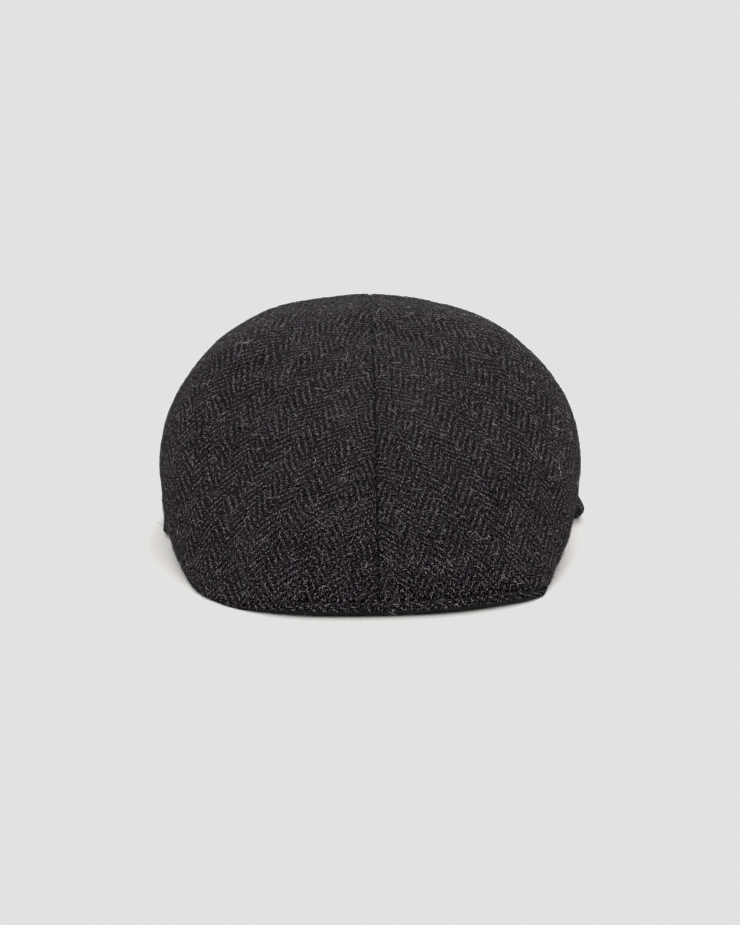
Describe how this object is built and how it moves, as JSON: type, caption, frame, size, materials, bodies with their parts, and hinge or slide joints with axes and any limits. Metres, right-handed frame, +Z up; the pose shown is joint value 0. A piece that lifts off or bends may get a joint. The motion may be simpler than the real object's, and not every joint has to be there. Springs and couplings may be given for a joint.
{
  "type": "flat cap",
  "caption": "Flat cap of dark herringbone wool: a crown in two halves with a centre seam, a thin stiff peak under its front edge and a rolled hem band behind.",
  "frame": {"origin": "middle of the cap's box, on the surface the cap rests on", "axes": "+Z up; -Y towards the peak; +X to the picture's right, which is the wearer's left"},
  "size_m": [0.1888, 0.2788, 0.091],
  "materials": {
    "wool": "matt, slightly shaggy herringbone wool cloth"
  },
  "bodies": {
    "root": {"crown_left": "wool", "crown_right": "wool", "peak": "wool", "back_band": "wool"}
  },
  "joints": []
}
